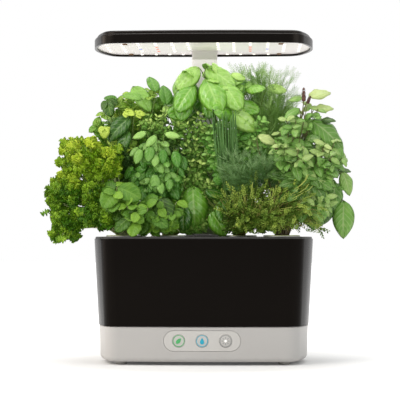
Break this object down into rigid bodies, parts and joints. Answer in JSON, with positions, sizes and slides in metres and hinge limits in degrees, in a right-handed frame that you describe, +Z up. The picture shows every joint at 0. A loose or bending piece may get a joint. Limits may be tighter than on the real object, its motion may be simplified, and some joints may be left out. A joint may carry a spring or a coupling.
{
  "type": "countertop hydroponic garden",
  "caption": "Countertop hydroponic herb garden: grey base with touch buttons, black water bowl with planting pods and herbs, and a lamp hood on a telescopic arm",
  "frame": {"origin": "on the table, under the middle of the garden, at the bottom of the feet", "axes": "+Z up, +X to the right seen from the front, the button panel faces -Y"},
  "size_m": [0.374, 0.172, 0.3966],
  "materials": {
    "grey_plastic": "fine satin moulded light grey",
    "panel_plastic": "smooth satin light grey",
    "black_plastic": "satin black moulded",
    "deck_plastic": "satin black moulded",
    "arm_plastic": "satin light grey",
    "pod_plastic": "smooth white moulded",
    "clear_tube": "smooth translucent",
    "pump_plastic": "dark moulded",
    "foot_rubber": "matte",
    "screw_steel": "zinc plated",
    "screw_brass": "dull",
    "circuit_board": "solder masked",
    "led_mask": "white solder mask",
    "spreader_aluminium": "bare sheet",
    "led_white": "diffused lens",
    "led_red": "diffused lens",
    "led_blue": "diffused lens",
    "component_black": "moulded",
    "contact_brass": "plated",
    "shaft_ceramic": "ground",
    "magnet_ferrite": "sintered",
    "filter_foam": "open foam",
    "sponge": "damp peat foam",
    "label_paper": "coated pale green",
    "lead_jacket": "matte jacket",
    "curly_parsley_leaf": "living leaf",
    "mint_leaf": "living leaf",
    "coriander_leaf": "living leaf",
    "bush_basil_leaf": "living leaf",
    "oregano_leaf": "living leaf",
    "large_leaf_basil_leaf": "living leaf",
    "chives_leaf": "living leaf",
    "dill_leaf": "living leaf",
    "thai_basil_leaf": "living leaf",
    "thyme_leaf": "living leaf"
  },
  "bodies": {
    "base": {"base_shell": "grey_plastic", "bottom_plate": "grey_plastic", "rubber_feet": "foot_rubber", "base_screws": "screw_steel", "control_panel": "panel_plastic", "control_board": "circuit_board", "tactile_switches": "component_black", "main_board": "circuit_board", "board_components": "component_black", "power_inlet": "component_black", "arm_column": "arm_plastic", "column_cover": "arm_plastic", "column_contacts": "contact_brass"},
    "plant_food_key": {"plant_food_button": "panel_plastic"},
    "water_key": {"water_button": "panel_plastic"},
    "light_key": {"light_button": "panel_plastic"},
    "water_bowl": {"bowl": "black_plastic", "deck": "deck_plastic", "lid_hinge_pin": "screw_steel", "grow_sponges": "sponge", "pod_labels": "label_paper", "pump_housing": "pump_plastic", "pump_cover": "pump_plastic", "pump_shaft": "shaft_ceramic", "riser_and_spout": "clear_tube", "pump_filter": "filter_foam", "level_probes": "screw_steel", "bowl_contacts": "contact_brass", "pod_basket_1": "pod_plastic", "pod_basket_2": "pod_plastic", "pod_basket_3": "pod_plastic", "pod_basket_4": "pod_plastic", "pod_basket_5": "pod_plastic", "pod_basket_6": "pod_plastic", "curly_parsley": "curly_parsley_leaf", "mint": "mint_leaf", "coriander": "coriander_leaf", "bush_basil": "bush_basil_leaf", "oregano": "oregano_leaf", "large_leaf_basil": "large_leaf_basil_leaf", "chives": "chives_leaf", "dill": "dill_leaf", "thai_basil": "thai_basil_leaf", "thyme": "thyme_leaf"},
    "fill_lid": {"fill_port_lid": "deck_plastic"},
    "pump_rotor": {"pump_impeller": "pod_plastic", "rotor_magnet": "magnet_ferrite"},
    "arm_middle": {"arm_middle_tube": "arm_plastic", "middle_detents": "screw_steel"},
    "lamp": {"arm_upper_tube": "arm_plastic", "upper_detents": "screw_steel", "lamp_lead": "lead_jacket", "hood_shell": "black_plastic", "led_board": "led_mask", "heat_spreader": "spreader_aluminium", "hood_screws": "screw_brass", "arm_coupler": "black_plastic", "leds_white": "led_white", "leds_red": "led_red", "leds_blue": "led_blue"}
  },
  "joints": [
    {"name": "bowl_slide", "type": "slide", "parent": "base", "child": "water_bowl", "axis": [0, -1, 0], "range_m": [0, 0.17]},
    {"name": "fill_lid_hinge", "type": "hinge", "parent": "water_bowl", "child": "fill_lid", "pos_m": [0, -0.035, 0.1544], "axis": [-1, 0, 0], "range_deg": [0, 100]},
    {"name": "pump_rotor_spin", "type": "hinge", "parent": "water_bowl", "child": "pump_rotor", "pos_m": [-0.064, 0.047, 0.06], "axis": [0, 0, 1], "continuous": true},
    {"name": "plant_food_press", "type": "slide", "parent": "base", "child": "plant_food_key", "axis": [0, 1, 0], "range_m": [0, 0.0008], "stiffness_N_per_m": 1500},
    {"name": "water_press", "type": "slide", "parent": "base", "child": "water_key", "axis": [0, 1, 0], "range_m": [0, 0.0008], "stiffness_N_per_m": 1500},
    {"name": "light_press", "type": "slide", "parent": "base", "child": "light_key", "axis": [0, 1, 0], "range_m": [0, 0.0008], "stiffness_N_per_m": 1500},
    {"name": "arm_middle_slide", "type": "slide", "parent": "base", "child": "arm_middle", "axis": [0, 0, 1], "range_m": [0, 0.044]},
    {"name": "arm_upper_slide", "type": "slide", "parent": "arm_middle", "child": "lamp", "axis": [0, 0, 1], "range_m": [-0.008, 0]}
  ]
}
